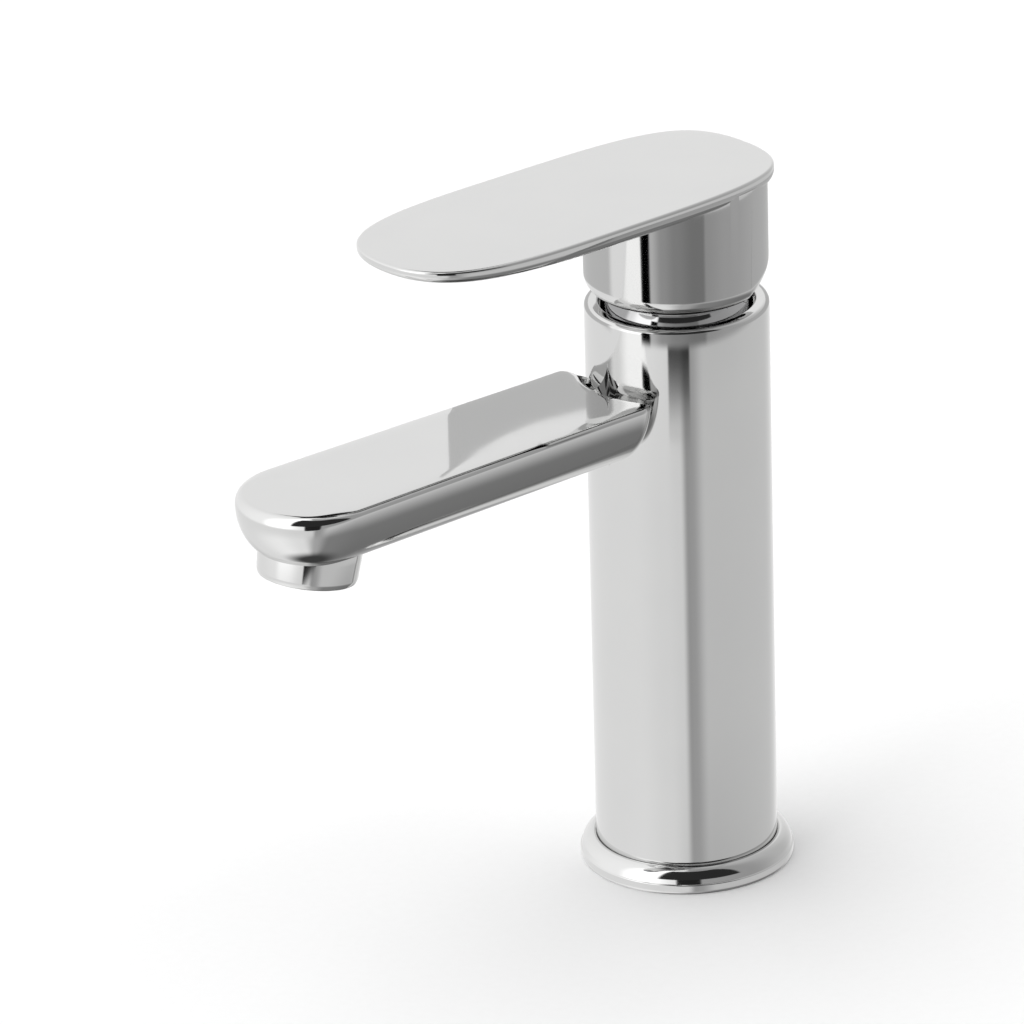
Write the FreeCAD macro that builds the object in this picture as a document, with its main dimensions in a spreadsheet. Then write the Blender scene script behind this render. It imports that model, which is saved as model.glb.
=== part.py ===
"""Basin mixer: a round column with a flat spout, a paddle lever and a 35 mm ceramic-disc cartridge.

Millimetres, +Z up. The origin is the centre of the column's foot on the deck, and the spout and lever
point along -Y. Every driving size is a cell of the sheet "sizes", and every sub-part is bound to those cells.
"""
import FreeCAD, Part
import math
import os
import Sketcher

doc = FreeCAD.newDocument("basin_mixer")
sheet = doc.addObject("Spreadsheet::Sheet", "sizes")
parts = []


class Size:
    """A number that also knows the sheet expression it comes from."""

    def __init__(self, number, text):
        self.number = number
        self.text = text

    def __add__(self, other):
        other = as_size(other)
        return Size(self.number + other.number, "(%s + %s)" % (self.text, other.text))

    def __sub__(self, other):
        other = as_size(other)
        return Size(self.number - other.number, "(%s - %s)" % (self.text, other.text))

    def __mul__(self, other):
        other = as_size(other)
        return Size(self.number * other.number, "(%s * %s)" % (self.text, other.text))

    def __truediv__(self, other):
        other = as_size(other)
        return Size(self.number / other.number, "(%s / %s)" % (self.text, other.text))

    def __neg__(self):
        return Size(-self.number, "(0 - %s)" % self.text)


def as_size(value):
    return value if isinstance(value, Size) else Size(float(value), "%.6f" % value)


def root(value):
    return Size(math.sqrt(value.number), "sqrt(%s)" % value.text)


def sine(angle):
    return Size(math.sin(math.radians(angle.number)), "sin(%s * 1deg)" % angle.text)


def cosine(angle):
    return Size(math.cos(math.radians(angle.number)), "cos(%s * 1deg)" % angle.text)


def size(name, number):
    """Writes one driving size to the sheet and returns it."""
    row = size.rows + 1
    size.rows = row
    sheet.set("A%d" % row, name)
    sheet.set("B%d" % row, "%g" % number)
    sheet.setAlias("B%d" % row, name)
    return Size(float(number), "sizes.%s" % name)


size.rows = 0
zero = as_size(0)


# ---------------------------------------------------------------- ways of making a sub-part

def bind(thing, field, value):
    thing.setExpression(field, as_size(value).text)


def finished(thing, label):
    """Registers a sub-part under the name of its node."""
    thing.Label = label
    parts.append(thing)
    return thing


def new_body(name):
    return doc.addObject("PartDesign::Body", name)


def new_sketch(body, name, plane, offset=zero):
    sketch = body.newObject("Sketcher::SketchObject", name)
    origin = [feature for feature in body.Origin.OriginFeatures if feature.Role == plane][0]
    sketch.AttachmentSupport = [(origin, "")]
    sketch.MapMode = "FlatFace"
    bind(sketch, ".AttachmentOffset.Base.z", offset)
    return sketch


def pin_point(sketch, geometry, place, point):
    """Holds one point of the sketch at its sheet coordinates."""
    for kind, value in zip(("DistanceX", "DistanceY"), point):
        value = as_size(value)
        index = sketch.addConstraint(Sketcher.Constraint(kind, -1, 1, geometry, place, value.number))
        sketch.setExpression("Constraints[%d]" % index, value.text)


def draw_polygon(sketch, points):
    count = len(points)
    first = sketch.GeometryCount
    places = [FreeCAD.Vector(as_size(x).number, as_size(y).number, 0) for x, y in points]
    for index in range(count):
        sketch.addGeometry(Part.LineSegment(places[index], places[(index + 1) % count]), False)
    for index in range(count):
        follower = first + (index + 1) % count
        sketch.addConstraint(Sketcher.Constraint("Coincident", first + index, 2, follower, 1))
        pin_point(sketch, first + index, 1, points[index])


def draw_circle(sketch, radius, centre=(zero, zero)):
    radius = as_size(radius)
    place = FreeCAD.Vector(as_size(centre[0]).number, as_size(centre[1]).number, 0)
    index = sketch.addGeometry(Part.Circle(place, FreeCAD.Vector(0, 0, 1), radius.number), False)
    pin_point(sketch, index, 3, centre)
    number = sketch.addConstraint(Sketcher.Constraint("Radius", index, radius.number))
    sketch.setExpression("Constraints[%d]" % number, radius.text)


def revolve(body, name, profile, kind="PartDesign::Revolution"):
    """Turns a closed profile of (radius, height) points about the body's Z axis."""
    sketch = new_sketch(body, name + "_profile", "XZ_Plane")
    draw_polygon(sketch, profile)
    turned = body.newObject(kind, name)
    turned.Profile = sketch
    turned.ReferenceAxis = (sketch, ["V_Axis"])
    turned.Angle = 360
    body.Tip = turned
    return turned


def extrude(body, name, sketch, length, kind="PartDesign::Pad", backwards=False, both=False):
    feature = body.newObject(kind, name)
    feature.Profile = sketch
    bind(feature, "Length", length)
    feature.Reversed = backwards
    feature.Midplane = both
    body.Tip = feature
    return feature


def cut_up(body, name, radius, centre, low, depth):
    """A round pocket that starts at height low and goes up."""
    sketch = new_sketch(body, name + "_outline", "XY_Plane", low)
    draw_circle(sketch, radius, centre)
    return extrude(body, name, sketch, depth, "PartDesign::Pocket", backwards=True)


def edge_names(feature, wanted):
    """Names of the edges of a feature's shape that pass a test."""
    doc.recompute()
    return ["Edge%d" % (index + 1) for index, edge in enumerate(feature.Shape.Edges) if wanted(edge)]


def dress(body, name, kind, feature, wanted, amount):
    """Rounds or chamfers the edges of a feature that pass a test."""
    edges = edge_names(feature, wanted)
    if not edges:
        raise RuntimeError("no edge to finish for " + name)
    dressed = body.newObject(kind, name)
    dressed.Base = (feature, edges)
    bind(dressed, "Radius" if kind.endswith("Fillet") else "Size", amount)
    body.Tip = dressed
    return dressed


def at_height(height, radius=None, slack=0.02):
    """A test for flat edges at one height and, if it is given, for circles of one radius."""
    def wanted(edge):
        flat = abs(edge.BoundBox.ZMin - height.number) < slack and edge.BoundBox.ZLength < slack
        if not flat or radius is None:
            return flat
        curve = edge.Curve
        return isinstance(curve, Part.Circle) and abs(curve.Radius - radius.number) < slack
    return wanted


def turned_part(label, profile):
    body = new_body(label)
    revolve(body, label + "_turned", profile)
    return finished(body, label)


def ring(inner, outer, low, high):
    """Profile of a plain ring."""
    return [(inner, low), (outer, low), (outer, high), (inner, high)]


def place(thing, x=zero, y=zero, z=zero):
    for axis, value in zip("xyz", (x, y, z)):
        bind(thing, ".Placement.Base.%s" % axis, value)
    return thing


def cylinder(name, radius, height, x=zero, y=zero, z=zero, along="z"):
    """A Part cylinder along Z, X or Y, with its base at a point."""
    thing = doc.addObject("Part::Cylinder", name)
    bind(thing, "Radius", radius)
    bind(thing, "Height", height)
    turns = {"z": (0, 0, 1, 0), "x": (0, 1, 0, 90), "y": (1, 0, 0, -90)}
    ax, ay, az, angle = turns[along]
    thing.Placement = FreeCAD.Placement(FreeCAD.Vector(), FreeCAD.Rotation(FreeCAD.Vector(ax, ay, az), angle))
    return place(thing, x, y, z)


def block(name, width, depth, height, x=zero, y=zero, z=zero):
    """A Part box centred on x and y, with its underside at z."""
    thing = doc.addObject("Part::Box", name)
    bind(thing, "Length", width)
    bind(thing, "Width", depth)
    bind(thing, "Height", height)
    return place(thing, as_size(x) - as_size(width) / 2, as_size(y) - as_size(depth) / 2, z)


def sphere(name, radius, x=zero, y=zero, z=zero):
    thing = doc.addObject("Part::Sphere", name)
    bind(thing, "Radius", radius)
    return place(thing, x, y, z)


def fuse(name, shapes):
    thing = doc.addObject("Part::MultiFuse", name)
    thing.Shapes = shapes
    return thing


def cut(name, base, tools):
    thing = doc.addObject("Part::Cut", name)
    thing.Base = base
    thing.Tool = tools[0] if len(tools) == 1 else fuse(name + "_tools", tools)
    return thing


# ---------------------------------------------------------------- driving sizes

# Column, spout and foot.
column_radius = size("column_radius", 24)
column_wall = size("column_wall", 2.8)
rim_height = size("rim_height", 157.5)
rim_round = size("rim_round", 1.5)
spout_drop = size("spout_drop", 18.1)
spout_thickness = size("spout_thickness", 16.4)
spout_wall = size("spout_wall", 3)
spout_root_radius = size("spout_root_radius", 18.1)
spout_tip_radius = size("spout_tip_radius", 19.4)
spout_reach = size("spout_reach", 122.5)
boss_length = size("boss_length", 14.7)
throat_half = size("throat_half", 9)
throat_height = size("throat_height", 6.3)
spout_top_round = size("spout_top_round", 2.2)
spout_bottom_round = size("spout_bottom_round", 9)
foot_flare = size("foot_flare", 4.2)
foot_height = size("foot_height", 7)
foot_round = size("foot_round", 3.5)
foot_lip = size("foot_lip", 2.6)
foot_lip_reach = size("foot_lip_reach", 3)
gasket_thickness = size("gasket_thickness", 1.5)
gasket_width = size("gasket_width", 2.6)
fit_gap = size("fit_gap", 0.1)

# Valve block: the brazed-in brass floor with the inlet threads.
seat_depth = size("seat_depth", 39.5)
block_thickness = size("block_thickness", 12)
inlet_x = size("inlet_x", 7)
inlet_y = size("inlet_y", 4)
inlet_radius = size("inlet_radius", 3)
hose_thread_radius = size("hose_thread_radius", 4.5)
hose_thread_depth = size("hose_thread_depth", 9.5)
stud_thread_radius = size("stud_thread_radius", 3.4)
stud_thread_depth = size("stud_thread_depth", 9)
stud_y = size("stud_y", 12)

# Cartridge chamber.
chamber_wall = size("chamber_wall", 3.7)
seal_bore_height = size("seal_bore_height", 6)
nut_thread_step = size("nut_thread_step", 0.8)
nut_thread_height = size("nut_thread_height", 4.5)
nut_collar_height = size("nut_collar_height", 3.8)
nut_neck_gap = size("nut_neck_gap", 0.3)

# Cartridge.
cartridge_radius = size("cartridge_radius", 17.45)
cartridge_wall = size("cartridge_wall", 2.85)
cartridge_base_height = size("cartridge_base_height", 5)
cartridge_height = size("cartridge_height", 29)
cartridge_roof = size("cartridge_roof", 4.7)
cartridge_neck_wall = size("cartridge_neck_wall", 2.2)
cartridge_neck_height = size("cartridge_neck_height", 6)
outlet_y = size("outlet_y", 6.5)
outlet_radius = size("outlet_radius", 3.8)
disc_thickness = size("disc_thickness", 4)
fixed_disc_gap = size("fixed_disc_gap", 0.1)
disc_travel_room = size("disc_travel_room", 0.9)
moving_disc_start = size("moving_disc_start", 2.2)
carriage_height = size("carriage_height", 6)
slide_gap = size("slide_gap", 0.05)
running_gap = size("running_gap", 0.3)
pin_gap = size("pin_gap", 0.05)
seal_section = size("seal_section", 1.8)
roof_seal_lift = size("roof_seal_lift", 1.2)
rotor_seal_lift = size("rotor_seal_lift", 1.6)
rotor_groove_depth = size("rotor_groove_depth", 1.44)
limit_ring_height = size("limit_ring_height", 2.4)

# Stem, rotor and pin.
pivot_height = size("pivot_height", 32)
stem_arm = size("stem_arm", 14)
stem_arm_radius = size("stem_arm_radius", 2.2)
stem_ball_radius = size("stem_ball_radius", 2.6)
stem_width = size("stem_width", 7.6)
stem_hub_radius = size("stem_hub_radius", 4.6)
stem_height = size("stem_height", 33.5)
rotor_neck_radius = size("rotor_neck_radius", 10.5)
rotor_neck_top = size("rotor_neck_top", 6.5)
rotor_slot_half = size("rotor_slot_half", 7.6)
pin_radius = size("pin_radius", 1.5)
pin_length = size("pin_length", 19)

# Dome cover.
dome_gap = size("dome_gap", 0.4)
dome_wall = size("dome_wall", 1.2)
dome_opening = size("dome_opening", 11.8)
collar_gap = size("collar_gap", 0.8)

# Lever.
cap_inset = size("cap_inset", 0.1)
cap_gap = size("cap_gap", 2.9)
cap_round = size("cap_round", 4.7)
cap_dome_gap = size("cap_dome_gap", 0.94)
cap_ceiling = size("cap_ceiling", 8)
lever_height = size("lever_height", 36.6)
lever_lift_degrees = size("lever_lift_degrees", 18)
lift_gap = size("lift_gap", 0.6)
paddle_thickness = size("paddle_thickness", 4.8)
paddle_overhang = size("paddle_overhang", 0.75)
paddle_tip_radius = size("paddle_tip_radius", 24.2)
paddle_reach = size("paddle_reach", 74)
paddle_top_round = size("paddle_top_round", 1.2)
paddle_bottom_round = size("paddle_bottom_round", 3)
socket_boss_radius = size("socket_boss_radius", 8.5)
socket_boss_length = size("socket_boss_length", 16)
grub_screw_radius = size("grub_screw_radius", 2.5)
grub_screw_drop = size("grub_screw_drop", 17)
grub_screw_length = size("grub_screw_length", 8)
plug_radius = size("plug_radius", 3.6)
plug_depth = size("plug_depth", 2.5)

# Aerator.
aerator_tilt = size("aerator_tilt", 11)
outlet_ahead = size("outlet_ahead", 2.5)
aerator_outlet_drop = size("aerator_outlet_drop", 22.9)
aerator_radius = size("aerator_radius", 13.3)
aerator_wall = size("aerator_wall", 1.4)
aerator_skirt = size("aerator_skirt", 8.9)
aerator_thread_radius = size("aerator_thread_radius", 12)
aerator_thread_length = size("aerator_thread_length", 5.3)
aerator_lip = size("aerator_lip", 1.4)
aerator_gasket_thickness = size("aerator_gasket_thickness", 1.5)
grille_thickness = size("grille_thickness", 1.6)
grille_hole_radius = size("grille_hole_radius", 0.7)
grille_hole_pitch = size("grille_hole_pitch", 2.2)
grille_rows = 4
grille_row_step = 6
straightener_height = size("straightener_height", 4)
regulator_height = size("regulator_height", 2.4)
strainer_height = size("strainer_height", 3.6)

doc.recompute()

# Heights that several sub-parts share.
seat = rim_height - seat_depth
block_low = seat - block_thickness
shoulder = seat + cartridge_height
pivot = seat + pivot_height
spout_top = rim_height - spout_drop
spout_low = spout_top - spout_thickness
cap_low = rim_height + cap_gap
lever_top = rim_height + lever_height
paddle_low = lever_top - paddle_thickness
ceiling = lever_top - cap_ceiling
nut_top = shoulder + nut_thread_height

# Radii and reaches that fit one sub-part to another.
tube_bore = column_radius - column_wall
foot_radius = column_radius + foot_flare
chamber_radius = column_radius - chamber_wall
nut_thread_radius = chamber_radius - nut_thread_step
cartridge_bore = cartridge_radius - cartridge_wall
moving_disc_radius = cartridge_bore - moving_disc_start - disc_travel_room
dome_radius = chamber_radius - dome_gap
cap_radius = column_radius - cap_inset
cap_rise = cap_low - pivot
cap_cavity_radius = root(dome_radius * dome_radius - cap_rise * cap_rise) + cap_dome_gap
paddle_back_radius = cap_radius + paddle_overhang
aerator_reach = spout_reach + outlet_ahead
waterway_reach = spout_reach - boss_length


# ---------------------------------------------------------------- foot

def tangent_points(near_radius, far_radius, reach):
    """Where the straight side of a blade leaves its near circle and meets its far circle."""
    rise = (far_radius - near_radius) / reach
    across = root(as_size(1) - rise * rise)
    near = (near_radius * across, near_radius * rise)
    far = (far_radius * across, far_radius * rise - reach)
    return near, far


def blade(body, name, near_radius, far_radius, reach, low, height, kind="PartDesign::Pad"):
    """A flat blade with a round tip, from the axis out along -Y, made of a straight run and its tip."""
    near, far = tangent_points(near_radius, far_radius, reach)
    cutting = kind.endswith("Pocket")
    run = new_sketch(body, name + "_run_outline", "XY_Plane", low)
    draw_polygon(run, [near, (-near[0], near[1]), (-far[0], far[1]), far])
    extrude(body, name + "_run", run, height, kind, backwards=cutting)
    tip = new_sketch(body, name + "_tip_outline", "XY_Plane", low)
    draw_circle(tip, far_radius, (zero, -reach))
    return extrude(body, name + "_tip", tip, height, kind, backwards=cutting)


foot_bore = column_radius + fit_gap
foot_inner = column_radius - foot_lip_reach
groove_inner = foot_inner + foot_lip_reach / 2

# base_ring: the turned and chromed ring that the column stands in, with a groove for the gasket.
base_ring = new_body("base_ring")
ring_turned = revolve(base_ring, "ring_turned", [
    (foot_inner, zero),
    (groove_inner, zero),
    (groove_inner, gasket_thickness),
    (groove_inner + gasket_width, gasket_thickness),
    (groove_inner + gasket_width, zero),
    (foot_radius, zero),
    (foot_radius, foot_height),
    (foot_bore, foot_height),
    (foot_bore, foot_lip),
    (foot_inner, foot_lip),
])
ring_edge = at_height(foot_height, foot_radius)
dress(base_ring, "ring_round", "PartDesign::Fillet", ring_turned, ring_edge, foot_round)
finished(base_ring, "base_ring")

turned_part("base_gasket", ring(groove_inner, groove_inner + gasket_width, zero, gasket_thickness))


# ---------------------------------------------------------------- column and spout

def core_outline(body, name):
    """Outline of the water's flat core, from the axis out to the boss of the aerator."""
    half = spout_root_radius - spout_wall
    outline = new_sketch(body, name, "XY_Plane", spout_low + spout_wall)
    draw_polygon(outline, [(half, zero), (-half, zero), (-half, -waterway_reach), (half, -waterway_reach)])
    return outline


def build_body_shell():
    """The chromed brass column: a tube for the hoses, the cartridge's chamber and a window to the spout."""
    body = new_body("body_shell")
    outline = new_sketch(body, "column_outline", "XY_Plane", foot_lip)
    draw_circle(outline, column_radius)
    column = extrude(body, "column", outline, rim_height - foot_lip)
    dress(body, "rim_edge", "PartDesign::Fillet", column, at_height(rim_height, column_radius), rim_round)

    seal_top = shoulder
    seal_low = shoulder - seal_bore_height
    cone = chamber_radius - cartridge_radius
    bore_gap = fit_gap + cartridge_radius
    revolve(body, "column_bore", [
        (zero, zero),
        (tube_bore, zero),
        (tube_bore, seat),
        (chamber_radius, seat),
        (chamber_radius, seal_low - cone),
        (bore_gap, seal_low),
        (bore_gap, seal_top),
        (nut_thread_radius, seal_top),
        (nut_thread_radius, nut_top),
        (chamber_radius, nut_top),
        (chamber_radius, rim_height + column_wall),
        (zero, rim_height + column_wall),
    ], "PartDesign::Groove")
    window = core_outline(body, "window_outline")
    extrude(body, "window", window, spout_thickness - spout_wall * 2, "PartDesign::Pocket", backwards=True)
    return finished(body, "body_shell")


def build_spout():
    """The cast spout, brazed to the column: a flat arm with a round tip, cored out for the water."""
    body = new_body("spout")
    arm = blade(body, "arm", spout_root_radius, spout_tip_radius, spout_reach, spout_low, spout_thickness)

    def arm_edge(height):
        flat = at_height(height)

        def wanted(edge):
            return flat(edge) and edge.BoundBox.YMin < -column_radius.number
        return wanted

    def core_edge(edge):
        flat = at_height(spout_low + spout_wall)
        straight = isinstance(edge.Curve, Part.Line) and edge.BoundBox.YLength > waterway_reach.number / 2
        return flat(edge) and straight

    under = dress(body, "arm_under_round", "PartDesign::Fillet", arm, arm_edge(spout_low), spout_bottom_round)
    dress(body, "arm_top_edge", "PartDesign::Fillet", under, arm_edge(spout_top), spout_top_round)
    cut_up(body, "column_seat", column_radius, (zero, zero), spout_low, spout_thickness)

    # The core stops at the solid boss of the aerator, and a flat throat leads over the boss's thread.
    run = core_outline(body, "waterway_outline")
    run_height = spout_thickness - spout_wall * 2
    core = extrude(body, "waterway", run, run_height, "PartDesign::Pocket", backwards=True)
    dress(body, "waterway_round", "PartDesign::Fillet", core, core_edge, spout_bottom_round - spout_wall)
    throat = new_sketch(body, "throat_outline", "XY_Plane", spout_top - spout_wall - throat_height)
    draw_polygon(throat, [
        (throat_half, -waterway_reach + spout_wall),
        (-throat_half, -waterway_reach + spout_wall),
        (-throat_half, -aerator_reach),
        (throat_half, -aerator_reach),
    ])
    extrude(body, "throat", throat, throat_height, "PartDesign::Pocket", backwards=True)

    def tilted_bore(name, radius, low, high):
        sketch = new_sketch(body, name + "_outline", "XY_Plane")
        draw_circle(sketch, radius)
        rotation = FreeCAD.Rotation(FreeCAD.Vector(1, 0, 0), -aerator_tilt.number)
        sketch.AttachmentOffset = FreeCAD.Placement(FreeCAD.Vector(), rotation)
        bind(sketch, ".AttachmentOffset.Rotation.Angle", aerator_tilt)
        sketch.setExpression(".AttachmentOffset.Rotation.Axis.x", "-1")
        bind(sketch, ".AttachmentOffset.Base.y", sine(aerator_tilt) * low - aerator_reach)
        bind(sketch, ".AttachmentOffset.Base.z", cosine(aerator_tilt) * low + spout_top - aerator_outlet_drop)
        return extrude(body, name, sketch, high - low, "PartDesign::Pocket", backwards=True)

    thread_low = aerator_skirt + fit_gap
    thread_top = thread_low + aerator_thread_length + aerator_gasket_thickness
    throat_top = thread_top + throat_height / 2
    tilted_bore("aerator_seat", aerator_radius + fit_gap * 2, zero, thread_low)
    tilted_bore("aerator_thread", aerator_thread_radius, thread_low - fit_gap, thread_top)
    tilted_bore("aerator_throat", throat_half, thread_top - fit_gap, throat_top)
    return finished(body, "spout")


build_body_shell()
build_spout()


# ---------------------------------------------------------------- valve block

def build_valve_block():
    """The brass floor brazed into the column: hose threads, the stud thread and the cartridge seat."""
    body = new_body("valve_block")
    outline = new_sketch(body, "block_outline", "XY_Plane", block_low)
    draw_circle(outline, tube_bore)
    extrude(body, "block_blank", outline, block_thickness)
    for side, name in ((-1, "hot"), (1, "cold")):
        centre = (inlet_x * side, inlet_y)
        cut_up(body, name + "_port", inlet_radius, centre, block_low, block_thickness)
        cut_up(body, name + "_hose_thread", hose_thread_radius, centre, block_low, hose_thread_depth)
    cut_up(body, "stud_thread", stud_thread_radius, (zero, -stud_y), block_low, stud_thread_depth)
    return finished(body, "valve_block")


build_valve_block()


# ---------------------------------------------------------------- cartridge

disc_low = seat + cartridge_base_height
disc_top = disc_low + disc_thickness
moving_low = disc_top + slide_gap
moving_top = moving_low + disc_thickness
carriage_top = moving_top + carriage_height
rotor_low = carriage_top + running_gap
roof_low = shoulder - cartridge_roof
neck_bore = rotor_neck_radius + running_gap
neck_top = shoulder + cartridge_neck_height
neck_outer = neck_bore + cartridge_neck_wall
seal_low = roof_low + roof_seal_lift

# cartridge_housing: moulded plastic cup, open below, with a groove for its seal and a neck for the rotor.
turned_part("cartridge_housing", [
    (cartridge_bore, disc_low),
    (cartridge_radius, disc_low),
    (cartridge_radius, seal_low),
    (cartridge_radius + fit_gap - seal_section, seal_low),
    (cartridge_radius + fit_gap - seal_section, seal_low + seal_section),
    (cartridge_radius, seal_low + seal_section),
    (cartridge_radius, shoulder),
    (neck_outer, shoulder),
    (neck_outer, neck_top),
    (neck_bore, neck_top),
    (neck_bore, roof_low),
    (cartridge_bore, roof_low),
])

turned_part("cartridge_seal", ring(cartridge_radius + fit_gap - seal_section, cartridge_radius + fit_gap,
                                   seal_low, seal_low + seal_section))


def build_cartridge_base():
    """The moulded foot of the cartridge: two inlet ports with seal seats and one outlet towards the spout."""
    seal_seat = inlet_radius + seal_section
    tools = []
    for side, name in ((-1, "hot"), (1, "cold")):
        tools.append(cylinder("base_%s_port" % name, inlet_radius, cartridge_base_height,
                              inlet_x * side, inlet_y, seat))
        tools.append(cylinder("base_%s_seal_seat" % name, seal_seat, seal_section,
                              inlet_x * side, inlet_y, seat))
    slot_height = cartridge_base_height - seal_section
    tools.append(cylinder("base_outlet_port", outlet_radius, slot_height,
                          zero, -outlet_y, seat + seal_section))
    tools.append(block("base_outlet_slot", outlet_radius * 2, cartridge_radius, slot_height / 2,
                       zero, -(outlet_y + cartridge_radius / 2), seat + seal_section))
    blank = cylinder("base_blank", cartridge_radius, cartridge_base_height, zero, zero, seat)
    finished(cut("cartridge_base", blank, tools), "cartridge_base")

    seals = []
    for side, name in ((-1, "hot"), (1, "cold")):
        outer = cylinder("%s_seal_outer" % name, seal_seat, seal_section, inlet_x * side, inlet_y, seat)
        inner = cylinder("%s_seal_inner" % name, inlet_radius, seal_section, inlet_x * side, inlet_y, seat)
        seals.append(cut("%s_inlet_seal" % name, outer, [inner]))
    finished(fuse("inlet_seals", seals), "inlet_seals")


build_cartridge_base()


def build_fixed_disc():
    """The lower ceramic disc, keyed in the housing, with the two inlets and the outlet."""
    body = new_body("fixed_ceramic_disc")
    outline = new_sketch(body, "fixed_disc_outline", "XY_Plane", disc_low)
    draw_circle(outline, cartridge_bore - fixed_disc_gap)
    extrude(body, "fixed_disc_blank", outline, disc_thickness)
    for side, name in ((-1, "hot"), (1, "cold")):
        cut_up(body, "disc_%s_port" % name, inlet_radius, (inlet_x * side, inlet_y), disc_low, disc_thickness)
    cut_up(body, "disc_outlet_port", outlet_radius, (zero, -outlet_y), disc_low, disc_thickness)
    return finished(body, "fixed_ceramic_disc")


def build_moving_disc():
    """The upper ceramic disc, with the mixing hollow in its underside."""
    body = new_body("moving_ceramic_disc")
    centre = (zero, moving_disc_start)
    outline = new_sketch(body, "moving_disc_outline", "XY_Plane", moving_low)
    draw_circle(outline, moving_disc_radius, centre)
    extrude(body, "moving_disc_blank", outline, disc_thickness)
    cut_up(body, "mixing_hollow", moving_disc_radius - outlet_radius, centre, moving_low, disc_thickness / 2)
    return finished(body, "moving_ceramic_disc")


def build_disc_carriage():
    """The plastic carriage on the moving disc: the stem's ball pushes it through the socket in its top."""
    body = new_body("disc_carriage")
    outline = new_sketch(body, "carriage_outline", "XY_Plane", moving_top)
    draw_circle(outline, moving_disc_radius, (zero, moving_disc_start))
    extrude(body, "carriage_blank", outline, carriage_height)
    socket_low = pivot - stem_arm - stem_ball_radius - running_gap * 2
    cut_up(body, "ball_socket", stem_ball_radius + running_gap, (zero, zero),
           socket_low, carriage_top - socket_low)
    return finished(body, "disc_carriage")


build_fixed_disc()
build_moving_disc()
build_disc_carriage()

rotor_shoulder = roof_low - running_gap
rotor_top = pivot + rotor_neck_top
ring_seal_outer = neck_bore - fit_gap
ring_seal_low = roof_low + rotor_seal_lift
rotor_groove = ring_seal_outer - rotor_groove_depth


def build_rotor():
    """The plastic rotor that carries the stem's pin. It turns in the housing and takes the discs with it."""
    body = new_body("stem_rotor")
    turned = revolve(body, "rotor_turned", [
        (zero, rotor_low),
        (cartridge_bore - running_gap, rotor_low),
        (cartridge_bore - running_gap, rotor_shoulder),
        (rotor_neck_radius, rotor_shoulder),
        (rotor_neck_radius, ring_seal_low),
        (rotor_groove, ring_seal_low),
        (rotor_groove, ring_seal_low + seal_section),
        (rotor_neck_radius, ring_seal_low + seal_section),
        (rotor_neck_radius, rotor_top),
        (zero, rotor_top),
    ])
    half_width = stem_width / 2 + running_gap
    slot = new_sketch(body, "rotor_slot_outline", "XY_Plane", rotor_low)
    draw_polygon(slot, [
        (-half_width, -rotor_slot_half),
        (half_width, -rotor_slot_half),
        (half_width, rotor_slot_half),
        (-half_width, rotor_slot_half),
    ])
    extrude(body, "rotor_slot", slot, rotor_top - rotor_low, "PartDesign::Pocket", backwards=True)
    hole = new_sketch(body, "rotor_pin_outline", "YZ_Plane")
    draw_circle(hole, pin_radius, (zero, pivot))
    extrude(body, "rotor_pin_hole", hole, pin_length, "PartDesign::Pocket", both=True)
    return finished(body, "stem_rotor")


build_rotor()
turned_part("rotor_seal", ring(rotor_groove, ring_seal_outer, ring_seal_low, ring_seal_low + seal_section))
finished(cylinder("stem_pin", pin_radius, pin_length, -(pin_length / 2), zero, pivot, along="x"), "stem_pin")

turned_part("temperature_limit_ring", ring(neck_outer + fit_gap, neck_outer + cartridge_neck_wall,
                                           nut_top + nut_collar_height - limit_ring_height,
                                           nut_top + nut_collar_height))


def build_stem():
    """The metal stem: a square shank for the lever, an eye on the pin and an arm with a ball."""
    shank_low = pivot + stem_hub_radius / 2
    shank = block("stem_shank", stem_width, stem_width, pivot + stem_height - shank_low,
                  zero, zero, shank_low)
    eye = cylinder("stem_eye", stem_hub_radius, stem_width, -(stem_width / 2), zero, pivot, along="x")
    arm = cylinder("stem_arm_rod", stem_arm_radius, stem_arm, zero, zero, pivot - stem_arm)
    ball = sphere("stem_ball", stem_ball_radius, zero, zero, pivot - stem_arm)
    solid = fuse("stem_solid", [shank, eye, arm, ball])
    hole = cylinder("stem_pin_hole", pin_radius + pin_gap, stem_width * 2,
                    -stem_width, zero, pivot, along="x")
    return finished(cut("lever_stem", solid, [hole]), "lever_stem")


build_stem()


# ---------------------------------------------------------------- nut and dome cover

dome_low = nut_top + fit_gap
collar_radius = nut_thread_radius - dome_wall - collar_gap
turned_part("cartridge_nut", [
    (neck_outer + nut_neck_gap, shoulder),
    (nut_thread_radius, shoulder),
    (nut_thread_radius, nut_top),
    (collar_radius, nut_top),
    (collar_radius, nut_top + nut_collar_height),
    (neck_outer + cartridge_neck_wall + fit_gap, nut_top + nut_collar_height),
    (neck_outer + cartridge_neck_wall + fit_gap, nut_top + nut_collar_height - limit_ring_height),
    (neck_outer + nut_neck_gap, nut_top + nut_collar_height - limit_ring_height),
])


def build_dome_cover():
    """The chromed cover over the nut: part of a hollow ball centred on the lever's pivot, open at the top."""
    outer = sphere("dome_outer", dome_radius, zero, zero, pivot)
    inner = sphere("dome_inner", dome_radius - dome_wall, zero, zero, pivot)
    opening = cylinder("dome_opening_cut", dome_opening, dome_radius * 2, zero, zero, pivot)
    below = cylinder("dome_below_cut", dome_radius * 2, dome_radius * 2,
                     zero, zero, dome_low - dome_radius * 2)
    return finished(cut("dome_cover", outer, [inner, opening, below]), "dome_cover")


build_dome_cover()


# ---------------------------------------------------------------- lever

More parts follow.
